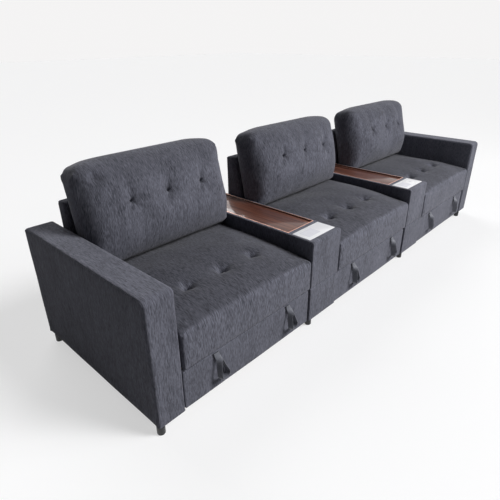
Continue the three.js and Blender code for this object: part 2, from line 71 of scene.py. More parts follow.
def aimCamera(setup):
    heading, pitch, roll = (math.radians(setup[k]) for k in ("heading", "pitch", "roll"))
    forward = Vector(
        (math.sin(heading) * math.cos(pitch), math.cos(heading) * math.cos(pitch), -math.sin(pitch))
    )
    level = Vector((math.cos(heading), -math.sin(heading), 0))
    upright = level.cross(forward)
    right = level * math.cos(roll) + upright * math.sin(roll)
    up = upright * math.cos(roll) - level * math.sin(roll)
    data = bpy.data.cameras.new("photoCamera")
    data.sensor_width = setup["sensor"]
    data.lens = setup["focalPixels"] / setup["imagePixels"] * setup["sensor"]
    data.clip_end = setup["reach"]
    camera = addObject("photoCamera", data)
    turn = Matrix((right, up, -forward)).transposed().to_4x4()
    camera.matrix_world = Matrix.Translation(setup["place"]) @ turn
    bpy.context.scene.camera = camera


aimCamera(photoCamera)
bpy.context.scene.view_settings.view_transform = "Standard"

# Studio: a soft key from high at the front right, a broad lamp from the rear, a panel in front of
# the sofa, and a pale world
studio = {
    "keyFrom": (0.44, -0.66, 0.74),
    "keyStrength": 2.25,
    "keySpread": 18,  # degrees across
    "rearFrom": (0.26, 0.76, 0.6),
    "rearStrength": 1.2,
    "rearSpread": 44,
    "panelPlace": (1.3, -3.2, 2.5),
    "panelAim": (0.2, 0, 0.3),
    "panelSize": 2,
    "panelPower": 104,
    "worldColour": "#fdfcfc",
    "ambient": 0.022,  # the world's strength on the sofa
    "backdrop": 0.925,  # and as the camera and mirrors see it
    "floorSize": 60,
    "floorColour": "#b0b0b1",
    "floorLift": 0.435,  # the floor's glow to the camera, where the panel lights it too
    "floorLiftFar": 0.575,  # and away from there
    "panelPool": (1.0, -1.9, 0),
    "fadeNear": 0.7,
    "fadeFar": 3.4,
}


def paint(hexColour):
    # sRGB hex to the linear colour that a shader takes, by the standard curve
    parts = [int(hexColour[i : i + 2], 16) / 255 for i in (1, 3, 5)]
    return [c / 12.92 if c <= 0.04045 else ((c + 0.055) / 1.055) ** 2.4 for c in parts] + [1]


def addNode(tree, kind, settings=None, links=None):
    node = tree.nodes.new(kind)
    for key, value in (settings or {}).items():
        if isinstance(key, int) or key in node.inputs:
            node.inputs[key].default_value = value
        else:
            setattr(node, key, value)
    for key, source in (links or {}).items():
        tree.links.new(source, node.inputs[key])
    return node


def seenDirectly(tree):
    # 1 for camera, mirror and glass rays, 0 for the light that falls on the sofa
    path = addNode(tree, "ShaderNodeLightPath")
    outputs = [path.outputs[k] for k in ("Is Camera Ray", "Is Glossy Ray", "Is Transmission Ray")]
    first = addNode(tree, "ShaderNodeMath", {"operation": "MAXIMUM"}, {0: outputs[0], 1: outputs[1]})
    both = addNode(tree, "ShaderNodeMath", {"operation": "MAXIMUM"}, {0: first.outputs[0], 1: outputs[2]})
    return both.outputs[0]


def addLamp(name, kind, place, aim, energy):
    data = bpy.data.lights.new(name, kind)
    data.energy = energy
    lamp = addObject(name, data)
    lamp.location = place
    lamp.rotation_euler = (Vector(aim) - Vector(place)).to_track_quat("-Z", "Y").to_euler()
    return data


def hangLamps(setup):
    for side in ("key", "rear"):
        sun = addLamp(side + "Lamp", "SUN", setup[side + "From"], (0, 0, 0), setup[side + "Strength"])
        sun.angle = math.radians(setup[side + "Spread"])
    panel = addLamp("panelLamp", "AREA", setup["panelPlace"], setup["panelAim"], setup["panelPower"])
    panel.size = setup["panelSize"]


def paintWorld(setup):
    world = bpy.data.worlds.new("paleStudio")
    bpy.context.scene.world = world
    world.use_nodes = True
    tree = world.node_tree
    tree.nodes.clear()
    span = setup["backdrop"] - setup["ambient"]
    strength = addNode(
        tree,
        "ShaderNodeMath",
        {"operation": "MULTIPLY_ADD", 1: span, 2: setup["ambient"]},
        {0: seenDirectly(tree)},
    )
    colour = {"Color": paint(setup["worldColour"])}
    glow = addNode(tree, "ShaderNodeBackground", colour, {"Strength": strength.outputs[0]})
    addNode(tree, "ShaderNodeOutputWorld", links={"Surface": glow.outputs[0]})


def layFloor(setup):
    bm = bmesh.new()
    bmesh.ops.create_grid(bm, x_segments=1, y_segments=1, size=setup["floorSize"] / 2)
    mesh = bpy.data.meshes.new("studioFloor")
    bm.to_mesh(mesh)
    bm.free()
    floor = addObject("studioFloor", mesh)
    # Painted studio board: matt white, lifted for the camera only, so that it keeps the shadow
    board = bpy.data.materials.new("mattWhiteBoard")
    board.use_nodes = True
    tree = board.node_tree
    tree.nodes.clear()
    matt = addNode(tree, "ShaderNodeBsdfDiffuse", {"Color": paint(setup["floorColour"])})
    place = addNode(tree, "ShaderNodeTexCoord").outputs["Object"]
    pool = {"operation": "DISTANCE", 1: setup["panelPool"]}
    away = addNode(tree, "ShaderNodeVectorMath", pool, {0: place}).outputs["Value"]
    fade = addNode(
        tree,
        "ShaderNodeMapRange",
        {
            "interpolation_type": "SMOOTHSTEP",
            "From Min": setup["fadeNear"],
            "From Max": setup["fadeFar"],
            "To Min": setup["floorLift"],
            "To Max": setup["floorLiftFar"],
        },
        {"Value": away},
    )
    lift = addNode(
        tree, "ShaderNodeMath", {"operation": "MULTIPLY"}, {0: seenDirectly(tree), 1: fade.outputs[0]}
    )
    glow = addNode(tree, "ShaderNodeEmission", links={"Strength": lift.outputs[0]})
    both = addNode(tree, "ShaderNodeAddShader", links={0: matt.outputs[0], 1: glow.outputs[0]})
    addNode(tree, "ShaderNodeOutputMaterial", links={"Surface": both.outputs[0]})
    mesh.materials.append(board)


hangLamps(studio)
paintWorld(studio)
layFloor(studio)
print("studio built")


def newMaterial(name, settings):
    material = bpy.data.materials.new(name)
    material.use_nodes = True
    shader = material.node_tree.nodes["Principled BSDF"]
    for key, value in settings.items():
        shader.inputs[key].default_value = value
    return material, material.node_tree, shader


def dressShader(tree, shader, colour, height, relief, strength=0.5):
    # The last step of a material: its colour, and where it has one its relief in metres
    tree.links.new(colour, shader.inputs["Base Color"])
    if relief:
        bump = {"Strength": strength, "Distance": relief}
        rough = addNode(tree, "ShaderNodeBump", bump, {"Height": height})
        tree.links.new(rough.outputs[0], shader.inputs["Normal"])


def stretchedNoise(tree, source, sizes, detail=2, roughness=0.55):
    # Noise whose grains have these sizes in metres along X, Y and Z
    scaled = addNode(
        tree, "ShaderNodeMapping", {"Scale": [1 / size for size in sizes]}, {"Vector": source}
    )
    grain = addNode(
        tree,
        "ShaderNodeTexNoise",
        {"Scale": 1, "Detail": detail, "Roughness": roughness},
        {"Vector": scaled.outputs[0]},
    )
    return grain.outputs[0]


# Chenille upholstery: a soft ribbed pile, so the eye sees fine broken streaks that run down the
# upright faces and front to back on the tops, and a faint cloudiness where the pile is brushed
chenille = {
    "dark": "#2f3037",
    "light": "#71727e",
    "streak": 0.0019,  # the yarn's pitch is about 1.5 mm, drawn as coarse as it needs to show
    "streakRun": 0.024,
    "knot": 0.0032,  # short thick places in the yarn
    "knotRun": 0.009,
    "knotWeight": 0.5,
    "band": 0.03,  # where the pile leans a little one way or the other
    "bandRun": 0.3,
    "bandWeight": 0.3,
    "cloud": 0.16,
    "cloudWeight": 0.35,
    "relief": 0.0006,
    "turnFrom": 0.62,  # how far a face looks sideways where its streaks turn with it
    "turnTo": 0.82,
    "pile": {"Roughness": 0.95, "Sheen Weight": 0.12, "Sheen Roughness": 0.45, "Specular IOR Level": 0.2},
}

# How strong a cover's streaks are, and what its colour is multiplied by where it faces up, eased in
# between two slopes: painted light on the frame's tops, and painted shade on the tops of the seats and
# backs
covers = {
    "frame": {"streakWeight": 1.6, "paintedTopShade": 1.08, "slopeFrom": 0.5, "slopeTo": 0.97},
    "back": {"streakWeight": 1.9, "paintedTopShade": 0.78, "slopeFrom": 0.2, "slopeTo": 0.6},
    "seat": {"streakWeight": 2.2, "paintedTopShade": 0.6, "slopeFrom": 0.6, "slopeTo": 0.99},
}


def makeChenille(name, setup, cover):
    material, tree, shader = newMaterial(name, setup["pile"])
    place = addNode(tree, "ShaderNodeTexCoord")
    normal = addNode(tree, "ShaderNodeSeparateXYZ", links={0: place.outputs["Normal"]})
    sideways = addNode(tree, "ShaderNodeMath", {"operation": "ABSOLUTE"}, {0: normal.outputs[0]})
    turning = {
        "interpolation_type": "SMOOTHSTEP",
        "From Min": setup["turnFrom"],
        "From Max": setup["turnTo"],
    }
    onSide = addNode(tree, "ShaderNodeMapRange", turning, {"Value": sideways.outputs[0]}).outputs[0]
    source = place.outputs["Object"]
    streaks = []
    for across in ("streak", "knot", "band"):
        width, length = setup[across], setup[across + "Run"]
        onFront = stretchedNoise(tree, source, (width, length, length), 1)
        onEnd = stretchedNoise(tree, source, (length, width, length), 1)
        mixed = addNode(tree, "ShaderNodeMix", links={"Factor": onSide, "A": onFront, "B": onEnd})
        streaks.append(mixed.outputs[0])
    cloud = stretchedNoise(tree, source, [setup["cloud"]] * 3)
    weights = [cover["streakWeight"], setup["knotWeight"], setup["bandWeight"], setup["cloudWeight"]]
    total = None
    for value, weight in zip(streaks + [cloud], weights):
        links = {0: value} if total is None else {0: value, 2: total}
        settings = {"operation": "MULTIPLY_ADD", 1: weight}
        if total is None:
            settings[2] = 0.5 - 0.5 * sum(weights)  # noise lies about 0.5, and so the sum does too
        total = addNode(tree, "ShaderNodeMath", settings, links).outputs[0]
    shades = {"data_type": "RGBA", 6: paint(setup["dark"]), 7: paint(setup["light"])}
    shade = addNode(tree, "ShaderNodeMix", shades, {0: total})
    # Painted shade on upward faces (painted light on the frame): the colour is scaled by how far each
    # face looks up
    paintedTopShading = addNode(
        tree,
        "ShaderNodeMapRange",
        {
            "interpolation_type": "SMOOTHSTEP",
            "From Min": cover["slopeFrom"],
            "From Max": cover["slopeTo"],
            "To Min": 1,
            "To Max": cover["paintedTopShade"],
        },
        {"Value": normal.outputs[2]},
    )
    colour = addNode(
        tree,
        "ShaderNodeVectorMath",
        {"operation": "SCALE"},
        {0: shade.outputs[2], "Scale": paintedTopShading.outputs[0]},
    )
    dressShader(tree, shader, colour.outputs[0], streaks[0], setup["relief"])
    return material


# Walnut veneer under clear lacquer: dark figure along the tray, with a bright sheet of reflection
walnut = {
    "stops": ((0.42, "#2b1611"), (0.8, "#6c4434"), (0.6, "#4e2b20")),  # dark, light and middle
    "figure": (0.012, 0.45, 0.1),  # across, along and through the veneer
    "pore": (0.0012, 0.03, 0.01),
    "poreWeight": 0.22,
    "relief": 0.0002,
    "reliefStrength": 0.15,
    "lacquer": {
        "Roughness": 0.45,
        "Specular IOR Level": 0.3,
        "Coat Weight": 0.85,
        "Coat Roughness": 0.1,
        "IOR": 1.5,
    },
}


def makeWalnut(setup):
    material, tree, shader = newMaterial("lacqueredWalnut", setup["lacquer"])
    place = addNode(tree, "ShaderNodeTexCoord").outputs["Object"]
    figure = stretchedNoise(tree, place, setup["figure"], 4)
    pores = stretchedNoise(tree, place, setup["pore"], 2)
    weight = {"operation": "MULTIPLY_ADD", 1: setup["poreWeight"]}
    mixed = addNode(tree, "ShaderNodeMath", weight, {0: pores, 2: figure})
    ramp = addNode(tree, "ShaderNodeValToRGB", links={0: mixed.outputs[0]})
    dark, light, mid = setup["stops"]
    for element, (position, colour) in zip(ramp.color_ramp.elements, (dark, light)):
        element.position = position
        element.color = paint(colour)
    ramp.color_ramp.elements.new(mid[0]).color = paint(mid[1])
    dressShader(tree, shader, ramp.outputs[0], pores, setup["relief"], setup["reliefStrength"])
    return material


# A finish whose colour wavers a little between two shades, with a fine relief
mottle = {"from": 0.3, "to": 0.7}


def makeMottled(name, shades, grain, settings, relief=0.0):
    # grain is the size of the mottling along X, Y and Z in metres, relief its height
    material, tree, shader = newMaterial(name, settings)
    place = addNode(tree, "ShaderNodeTexCoord").outputs["Object"]
    value = stretchedNoise(tree, place, grain, 3)
    limits = {"From Min": mottle["from"], "From Max": mottle["to"]}
    spread = addNode(tree, "ShaderNodeMapRange", limits, {"Value": value})
    colours = {"data_type": "RGBA", 6: paint(shades[0]), 7: paint(shades[1])}
    shade = addNode(tree, "ShaderNodeMix", colours, {0: spread.outputs[0]})
    dressShader(tree, shader, shade.outputs[2], value, relief)
    return material


# Polyester webbing: flat ribs across the band and a soft satin light along it
webbing = {
    "dark": "#42444b",
    "light": "#6e707a",
    "rib": 0.0022,
    "waver": 0.6,
    "relief": 0.0003,
    "satin": {"Roughness": 0.55, "Sheen Weight": 0.2, "Specular IOR Level": 0.4},
}


def makeWebbing(setup):
    material, tree, shader = newMaterial("polyesterWebbing", setup["satin"])
    place = addNode(tree, "ShaderNodeUVMap", {"uv_map": "weave"}).outputs[0]
    scale = math.pi / 10 / setup["rib"]  # at scale 1 the node's bands are pi / 10 apart
    bands = {"bands_direction": "Y", "Scale": scale, "Distortion": setup["waver"], "Detail": 1}
    ribs = addNode(tree, "ShaderNodeTexWave", bands, {"Vector": place}).outputs["Fac"]
    shades = {"data_type": "RGBA", 6: paint(setup["dark"]), 7: paint(setup["light"])}
    shade = addNode(tree, "ShaderNodeMix", shades, {0: ribs})
    dressShader(tree, shader, shade.outputs[2], ribs, setup["relief"])
    return material


fabric = makeChenille("chenilleUpholstery", chenille, covers["frame"])
backFabric = makeChenille("chenilleBackCover", chenille, covers["back"])
seatFabric = makeChenille("chenilleSeatCover", chenille, covers["seat"])
walnutVeneer = makeWalnut(walnut)
strapWebbing = makeWebbing(webbing)
# Rose-copper trim: polished and lacquered metal, a thin warm bright line
copper = makeMottled(
    "polishedCopper", ("#dfa994", "#efc3b0"), (0.02, 0.02, 0.02), {"Metallic": 1, "Roughness": 0.42}
)
# White ABS with a soft gloss, as on a phone charger
whiteGloss = makeMottled(
    "glossWhitePlastic", ("#e1e1e4", "#e7e7ea"), (0.05, 0.05, 0.05), {"Roughness": 0.34}
)
# The resting place for the phone: the same plastic, etched to a pale grey satin
greySatin = makeMottled(
    "satinGreyPlastic", ("#cfcfd6", "#d5d5dc"), (0.04, 0.04, 0.04), {"Roughness": 0.5}
)
# The ring that marks the charging spot: printed in a brighter white
ringWhite = makeMottled(
    "printedWhiteRing", ("#f1f1f3", "#f7f7f8"), (0.05, 0.05, 0.05), {"Roughness": 0.45}
)
# Moulded black polypropylene with the faint grain of its mould
blackPlastic = makeMottled(
    "mouldedBlackPlastic", ("#121315", "#1b1c1f"), (0.004, 0.004, 0.03), {"Roughness": 0.42}, 0.0002
)
# Needled black felt inside the console
lining = makeMottled(
    "blackFeltLining", ("#141416", "#242528"), (0.003, 0.003, 0.003), {"Roughness": 1}, 0.0005
)
# Zinc-plated steel, rolled: cool grey with a brushed light
steel = makeMottled(
    "zincPlatedSteel", ("#8f9296", "#b4b6b9"), (0.03, 0.0008, 0.0008), {"Metallic": 1, "Roughness": 0.34}
)
# Planed pine and birch plywood: pale, with long soft grain along each board
pine = makeMottled(
    "planedPine", ("#b88f5c", "#d3b07e"), (0.12, 0.006, 0.004), {"Roughness": 0.6}, 0.0003
)
plywood = makeMottled(
    "birchPlywood", ("#c2a070", "#d9bc8e"), (0.01, 0.2, 0.002), {"Roughness": 0.6}, 0.0002
)
# Mattress ticking: a tight grey cotton twill with a slight lustre
ticking = makeMottled(
    "cottonTicking", ("#5a5c64", "#6c6e76"), (0.0016, 0.01, 0.0016), {"Roughness": 0.9}, 0.0004
)
print("materials made")

tiny = 1e-6  # metres: nearer than this is the same place
rimShare = 0.999  # a point this far out in a rounded edge is at its end
facing = 0.9  # share of a normal that makes a face look that way
hardEdge = 30  # degrees past which an edge of a hard piece stays crisp


def addPiece(bm, name, materials, body, nodes, levels=0, sharp=None):
    mesh = bpy.data.meshes.new(name)
    for face in bm.faces:
        face.smooth = True
    bm.to_mesh(mesh)
    bm.free()
    if sharp is not None:
        mesh.set_sharp_from_angle(angle=math.radians(sharp))
    for material in materials:
        mesh.materials.append(material)
    piece = addObject(name, mesh)
    if levels:
        smoothing = piece.modifiers.new("smoothing", "SUBSURF")
        smoothing.levels = smoothing.render_levels = levels
    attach(piece, body)
    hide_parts(*nodes)
    return piece


def edgeRows(low, high, lowEdge, highEdge, cell, turns=5, extra=()):
    # Even turns in each rounded edge, even cells between them
    steps = [math.tan(math.pi / 4 * i / turns) for i in range(turns, -1, -1)]
    rows = [low + lowEdge * (1 - t) for t in steps] if lowEdge else [low]
    ends = [high - highEdge * (1 - t) for t in reversed(steps)] if highEdge else [high]
    count = max(1, math.ceil((ends[0] - rows[-1]) / cell))
    span = (ends[0] - rows[-1]) / count
    rows += [rows[-1] + span * i for i in range(1, count)]
    return sorted(set(rows + ends + list(extra)))


def gridBlock(rowsX, rowsY, rowsZ):
    # A closed block of quads with its rows at these places along each axis
    bm = bmesh.new()
    bmesh.ops.create_cube(bm, size=1)
    lines = (rowsX, rowsY, rowsZ)
    for axis, rows in enumerate(lines):
        along = [e for e in bm.edges if abs(e.verts[0].co[axis] - e.verts[1].co[axis]) > 0.5]
        if len(rows) > 2:
            bmesh.ops.subdivide_edges(bm, edges=along, cuts=len(rows) - 2, use_grid_fill=True)
    for v in bm.verts:
        v.co = [rows[round((v.co[k] + 0.5) * (len(rows) - 1))] for k, rows in enumerate(lines)]
    return bm


def roundEdges(bm, low, high, lowEdges, highEdges, axis=0):
    # Rounds the outline square to the axis with its own edges, then the two sides across the axis
    # with a small one, and returns how far out each vertex is in its rounded edges
    outs = []
    others = [k for k in range(3) if k != axis]
    for v in bm.verts:
        square = v.co.copy()
        inner = [min(max(square[k], low[k] + lowEdges[k]), high[k] - highEdges[k]) for k in range(3)]
        edges = [lowEdges[k] if square[k] < inner[k] else highEdges[k] for k in range(3)]
        out = [(square[k] - inner[k]) / edges[k] if edges[k] else 0 for k in range(3)]
        reach = max(1, math.hypot(*(out[k] for k in others)))
        place = list(square)
        slope = [0, 0, 0]
        for k in others:
            place[k] = inner[k] + edges[k] * out[k] / reach
            slope[k] = out[k] / max(edges[k], tiny)
        size = math.hypot(*slope)
        side = abs(out[axis])
        small = edges[axis]
        rim = max(abs(out[k]) for k in others)
        if side and size:
            if rim > rimShare:
                turn = math.atan(side)
                inwards = small * (1 - math.cos(turn))
                reached = math.sin(turn)
            else:
                widest = max(others, key=lambda k: abs(out[k]))
                inwards = small * (1 - math.sqrt(0.5)) * rim
                depth = edges[widest] * (1 - rim) + inwards
                reached = math.sqrt(1 - max(0, 1 - depth / small) ** 2)
            for k in others:
                place[k] -= inwards * slope[k] / size
            place[axis] = inner[axis] + math.copysign(small * reached, out[axis])
        v.co = place
        outs.append(out)
    return outs


def roundedGrid(low, high, lowEdges, highEdges, cell, axis=0, extras=((), (), ())):
    rows = []
    for k in range(3):
        rows.append(edgeRows(low[k], high[k], lowEdges[k], highEdges[k], cell, extra=extras[k]))
    bm = gridBlock(*rows)
    return bm, roundEdges(bm, low, high, lowEdges, highEdges, axis)


def onSeam(out, axis):
    # Whether a vertex lies on the outline of a face square to the axis
    ends = [abs(o) > rimShare for o in out]
    return ends[axis] and sum(ends) > 1


def pullSeam(bm, verts, depth):
    bm.normal_update()
    moves = [(v, v.normal * depth) for v in verts]
    for v, move in moves:
        v.co -= move


# Slow swells of a few millimetres, as hand-laid padding has under its cover
noiseSteps = (1, 1.7, 2.3)  # a seed's steps through the noise along X, Y and Z


def swell(point, size, height, seed):
    return height * noise.noise(Vector(point) / size + Vector([seed * step for step in noiseSteps]))


upholstery = {
    "cell": 0.022,
    "seamDepth": 0.0016,
    "seamWidth": 0.0022,
    "drawIn": 0.0016,  # how far a face falls back towards its edges
    "drawAcross": 5,  # how sharply it does, across the face and along its normal
    "drawAlong": 8,
    "fit": 0.0004,  # inside the frame's size, so that neighbours stay clear
    "swellSize": 0.19,
    "swell": 0.0012,
}


def softBlock(low, high, lowEdges, highEdges, seamAxis, seed, cell=None):
    # A padded block whose cover is sewn along the edges of the two faces square to seamAxis
    fit = upholstery["fit"]
    low = [t + fit for t in low]
    high = [t - fit for t in high]
    width = upholstery["seamWidth"]
    extras = [(low[k] + width, high[k] - width) for k in range(3)]
    cell = cell or upholstery["cell"]
    bm, outs = roundedGrid(low, high, lowEdges, highEdges, cell, seamAxis, extras)
    seam = [v for v, out in zip(bm.verts, outs) if onSeam(out, seamAxis)]
    middle = [(a + b) / 2 for a, b in zip(low, high)]
    half = [(b - a) / 2 for a, b in zip(low, high)]
    for v in bm.verts:
        away = [(v.co[k] - middle[k]) / half[k] for k in range(3)]
        for k in range(3):
            others = [abs(away[j]) ** upholstery["drawAcross"] for j in range(3) if j != k]
            fall = upholstery["drawIn"] * max(others) * abs(away[k]) ** upholstery["drawAlong"]
            v.co[k] -= math.copysign(fall, away[k])
    bm.normal_update()
    size, height = upholstery["swellSize"], upholstery["swell"]
    moves = [v.normal * swell(v.co, size, height, seed) for v in bm.verts]
    for v, move in zip(bm.verts, moves):
        v.co += move - v.normal * height / 2
    pullSeam(bm, seam, upholstery["seamDepth"])
    return bm


# Arms: one strip of cover runs up the front, over the top and down the rear, with a panel each side
arms = {"side": 0.013, "end": 0.026, "heel": 0.004, "top": 0.028}


def makeSewnBox(node, setup, upper, seed):
    low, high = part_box(node)
    lowEdges = (setup["side"], setup["end"], setup["heel"])
    highEdges = (setup["side"], setup["end"], setup[upper])
    bm = softBlock(low, high, lowEdges, highEdges, 0, seed)
    piece = addPiece(bm, node + "_cover", [fabric], "root", [node], 1)


for i, name in enumerate(["left_arm", "right_arm"]):
    makeSewnBox(name, arms, "top", seeds["arm"] + i)
print("arms made")

# Console boxes: the same strip and side panels, with the lid's well and the plate's seat in the top
boxes = {
    "side": 0.006,
    "end": 0.013,
    "heel": 0.004,
    "seam": 0.005,
    "cell": 0.03,
    "floor": 0.015,
    "ledge": 0.012,
    "hole": 0.0006,
    "level": 0.001,  # a face this near the top belongs to it
    "sharp": 38,  # degrees
}


def sinkHole(bm, spanX, spanY, top, depths):
    # Lets the top faces whose middles are in both spans down through depths, each after its inset
    region = []
    for face in bm.faces:
        middle = face.calc_center_median()
        onTop = face.normal.z > facing and abs(middle.z - top) < boxes["level"]
        if onTop and spanX[0] < middle.x < spanX[1] and spanY[0] < middle.y < spanY[1]:
            region.append(face)
    walls = []
    for inset, height in depths:
        if inset:
            bmesh.ops.inset_region(bm, faces=region, thickness=inset, use_even_offset=True)
        before = set(bm.faces)
        result = bmesh.ops.extrude_face_region(bm, geom=region)
        bmesh.ops.delete(bm, geom=[f for f in region if f.is_valid], context="FACES_ONLY")
        region = [g for g in result["geom"] if isinstance(g, bmesh.types.BMFace)]
        walls = [f for f in walls if f.is_valid] + [f for f in bm.faces if f not in before]
        for v in {v for f in region for v in f.verts}:
            v.co.z = height
    return walls


def makeConsoleBox(name):
    node = name + "_console_box"
    low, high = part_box(node)
    fit = upholstery["fit"]
    rimLow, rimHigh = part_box(name + "_console_lid_rim")
    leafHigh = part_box(name + "_console_hinge_fixed_leaf")[1]
    plateLow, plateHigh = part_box(name + "_console_charging_plate")
    hole = boxes["hole"]
    sides = [rimLow.x - hole, rimHigh.x + hole]
    well = [rimLow.y - hole, leafHigh.y + hole]
    seat = [plateLow.y - hole, plateHigh.y + hole]
    lows = [t + fit for t in low]
    highs = [high.x - fit, high.y - fit, high.z]
    lowEdges = (boxes["side"], boxes["end"], boxes["seam"])
    highEdges = (boxes["side"], boxes["end"], boxes["end"])
    width = upholstery["seamWidth"]
    openings = (sides, well + seat, [])
    extras = [[lows[k] + width, highs[k] - width] + openings[k] for k in range(3)]
    bm, outs = roundedGrid(lows, highs, lowEdges, highEdges, boxes["cell"], extras=extras)
    seam = [v for v, out in zip(bm.verts, outs) if onSeam(out, 0)]
    bm.normal_update()
    top = highs[2]
    floor = low.z + boxes["floor"]
    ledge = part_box(name + "_console_lid")[0].z - hole / 2
    walls = sinkHole(bm, sides, well, top, [(0, ledge), (boxes["ledge"], floor)])
    walls += sinkHole(bm, sides, seat, top, [(0, plateLow.z - hole / 2)])
    for face in walls:
        face.material_index = 1
    pullSeam(bm, seam, upholstery["seamDepth"])
    addPiece(bm, node + "_cover", [fabric, lining], "root", [node], 0, boxes["sharp"])


for i, name in enumerate(consoles):
    makeSewnBox(name + "_console_base", boxes, "seam", seeds["base"] + i)
    makeConsoleBox(name)
print("consoles made")


# Trays, rims and charging plates
def plainBlock(low, high):
    bm = bmesh.new()
    bmesh.ops.create_cube(bm, size=1)
    bmesh.ops.scale(bm, vec=high - low, verts=bm.verts)
    bmesh.ops.translate(bm, vec=(high + low) / 2, verts=bm.verts)
    return bm


def bevelEdges(bm, edges, offset, segments=2):
    bmesh.ops.bevel(
        bm,
        geom=edges,
        offset=offset,
        offset_type="OFFSET",
        segments=segments,
        profile=0.5,
        affect="EDGES",
        material=-1,
        clamp_overlap=True,
    )


def sharpEdges(bm, angle=hardEdge):
    bm.normal_update()
    return [e for e in bm.edges if e.is_manifold and e.calc_face_angle(0) > math.radians(angle)]


trayParts = {
    "rim": 0.004,
    "edge": 0.0006,
    "boardEdge": 0.0004,
    "inward": 0.01,  # how far a face has to look inwards, and how little up, to be an inner wall
    "upright": 0.3,
}


def makeLid(name):
    lid = name + "_console_lid"
    bm = plainBlock(*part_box(lid))
    bevelEdges(bm, bm.edges[:], trayParts["boardEdge"])
    addPiece(bm, lid + "_board", [walnutVeneer], name + "_lid", [lid], 0, hardEdge)
    node = lid + "_rim"
    low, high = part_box(node)
    rim = trayParts["rim"]
    rowsX = [low.x, low.x + rim, high.x - rim, high.x]
    rowsY = [low.y, low.y + rim, high.y - rim, high.y]
    bm = gridBlock(rowsX, rowsY, [low.z, high.z])
    middle = (low + high) / 2
    flat = [f for f in bm.faces if abs(f.normal.z) > facing]
    hole = [f for f in flat if (f.calc_center_median() - middle).xy.length < rim]
    bmesh.ops.delete(bm, geom=hole, context="FACES")
    loops = [e for e in bm.edges if e.is_boundary]
    bmesh.ops.bridge_loops(bm, edges=loops)
    bmesh.ops.recalc_face_normals(bm, faces=bm.faces)
    bevelEdges(bm, sharpEdges(bm), trayParts["edge"])
    # Only the rim's lip shows metal: its inner wall takes the dark walnut veneer, painted shade for the
    # shadow line inside the rim
    for face in bm.faces:
        away = face.calc_center_median() - middle
        looksIn = face.normal.xy.dot(away.xy) < -trayParts["inward"]
        face.material_index = int(looksIn and abs(face.normal.z) < trayParts["upright"])
    trim = [copper, walnutVeneer]
    addPiece(bm, node + "_trim", trim, name + "_lid", [node], 0, hardEdge)


plateParts = {
    "corner": 0.003,
    "cornerTurns": 6,
    "edge": 0.0009,
    "edgeTurns": 3,
    "restInsetX": 0.026,
    "restInsetY": 0.022,
    "restRise": 0.0003,
    "restCorner": 0.004,
    "restEnd": 0.56,  # share of the plate's width
    "restEndByRing": 0.5,
    "ringPlace": 0.7,  # share of the plate's width
    "ringRadius": 0.026,
    "ringWidth": 0.006,
    "ringRise": 0.0006,
    "ringSides": 48,
    "dotRadius": 0.009,
    "dotSides": 24,
}


def roundedPlate(low, high, corner, edge):
    bm = plainBlock(low, high)
    upright = [e for e in bm.edges if (e.verts[0].co - e.verts[1].co).xy.length < tiny]
    bevelEdges(bm, upright, corner, plateParts["cornerTurns"])
    if edge:
        bevelEdges(bm, sharpEdges(bm, 2 * hardEdge), edge, plateParts["edgeTurns"])
    return bm


def joinInto(bm, other, material):
    for face in other.faces:
        face.material_index = material
    part = bpy.data.meshes.new("joinedPart")
    other.to_mesh(part)
    other.free()
    bm.from_mesh(part)
    bpy.data.meshes.remove(part)


# A flat ring or disc: rings of (radius, height) turned about an upright axis
def turned(profile, middle, sides):
    bm = bmesh.new()
    verts = [bm.verts.new((radius, 0, height)) for radius, height in profile]
    edges = [bm.edges.new(pair) for pair in zip(verts, verts[1:])]
    bmesh.ops.spin(
        bm,
        geom=verts + edges,
        cent=(0, 0, 0),
        axis=(0, 0, 1),
        angle=2 * math.pi,
        steps=sides,
        use_merge=True,
    )
    bmesh.ops.remove_doubles(bm, verts=bm.verts, dist=tiny)
    bmesh.ops.recalc_face_normals(bm, faces=bm.faces)
    bmesh.ops.translate(bm, vec=middle, verts=bm.verts)
    return bm


def makePlate(name, withRing):
    node = name + "_console_charging_plate"
    low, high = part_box(node)
    p = plateParts
    bm = roundedPlate(low, high, p["corner"], p["edge"])
    split = low.x + (high.x - low.x) * p["restEndByRing" if withRing else "restEnd"]
    restLow = Vector((low.x + p["restInsetX"], low.y + p["restInsetY"], high.z - p["restRise"]))
    restHigh = Vector((split, high.y - p["restInsetY"], high.z + p["restRise"]))
    joinInto(bm, roundedPlate(restLow, restHigh, p["restCorner"], 0), material=1)
    if withRing:
        middle = Vector((low.x + (high.x - low.x) * p["ringPlace"], (low.y + high.y) / 2, high.z))
        outer, rise = p["ringRadius"], p["ringRise"]
        inner, lip = outer - p["ringWidth"], rise / 2
        profile = [(outer, -rise), (outer, lip), (outer - lip, rise)]
        profile += [(inner + lip, rise), (inner, lip), (inner, -rise)]
        joinInto(bm, turned(profile, middle, p["ringSides"]), material=2)
        profile = [(p["dotRadius"], -rise), (p["dotRadius"], lip), (0, lip)]
        joinInto(bm, turned(profile, middle, p["dotSides"]), material=1)
    plastics = [whiteGloss, greySatin, ringWhite]
    addPiece(bm, node + "_face", plastics, "root", [node], 0, hardEdge)


for i, name in enumerate(consoles):
    makeLid(name)
    makePlate(name, i == 1)
print("trays made")

# Back frames: a leaning padded board that the loose cushion rests on
backs = {
    "rake": math.radians(13.4),
    "topThickness": 0.068,
    "panelThickness": 0.06,
    "side": 0.012,
    "edge": 0.02,
    "heel": 0.01,
    "cell": 0.03,
    "seam": 0.239,  # height where the raked front ends
    "sharp": 50,  # degrees
}


def rakeFront(frameHigh, z):
    return frameHigh.y - backs["topThickness"] - (frameHigh.z - z) * math.tan(backs["rake"])


